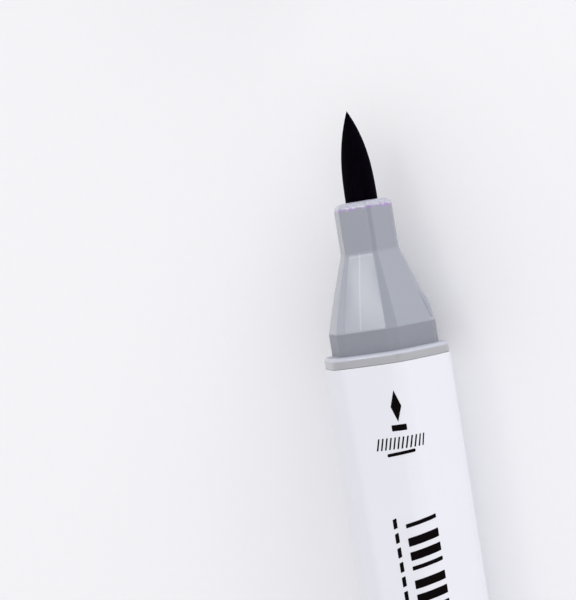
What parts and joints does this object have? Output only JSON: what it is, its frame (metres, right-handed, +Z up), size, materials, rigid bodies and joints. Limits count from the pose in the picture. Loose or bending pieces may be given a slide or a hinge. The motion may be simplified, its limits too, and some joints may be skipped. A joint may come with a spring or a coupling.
{
  "type": "felt tip marker",
  "caption": "Twin-tip felt marker with a hexagonal barrel, a brush nib, a chisel nib, an ink reservoir and slide-on caps with seals; the brush cap is drawn off.",
  "frame": {"origin": "middle of the flat of the barrel that the marker lies on, halfway along the barrel", "axes": "+Y runs along the marker towards the brush nib, +Z is up out of the surface that it lies on, +X is to the right when the brush nib points away"},
  "size_m": [0.0164, 0.2162, 0.015],
  "materials": {
    "barrel_plastic": "smooth white moulding, satin to semi-gloss",
    "cap_plastic": "smooth white moulding, satin to semi-gloss",
    "nozzle_plastic": "cool grey moulding, satin",
    "seal_plastic": "soft pale grey moulding",
    "plug_plastic": "dark violet moulding, satin",
    "inked_felt": "fine fibre soaked in dark violet ink",
    "reservoir_fibre": "bundled fibre soaked in ink",
    "reservoir_film": "thin clear film",
    "print_ink": "black pad-printed ink on the barrel"
  },
  "bodies": {
    "barrel": {"barrel_shell": "barrel_plastic", "ink_reservoir": "reservoir_fibre", "reservoir_film": "reservoir_film", "brush_nozzle": "nozzle_plastic", "brush_nib": "inked_felt", "chisel_nozzle": "nozzle_plastic", "chisel_nib": "inked_felt"},
    "brush_cap": {"brush_cap_shell": "cap_plastic", "brush_cap_seal": "seal_plastic", "brush_cap_end_plug": "plug_plastic"},
    "chisel_cap": {"chisel_cap_shell": "cap_plastic", "chisel_cap_seal": "seal_plastic", "chisel_cap_end_plug": "plug_plastic"}
  },
  "joints": [
    {"name": "brush_cap_slide", "type": "slide", "parent": "barrel", "child": "brush_cap", "axis": [0, -1, 0], "range_m": [0, 0.0658]},
    {"name": "chisel_cap_slide", "type": "slide", "parent": "barrel", "child": "chisel_cap", "axis": [0, -1, 0], "range_m": [0, 0.043]}
  ]
}
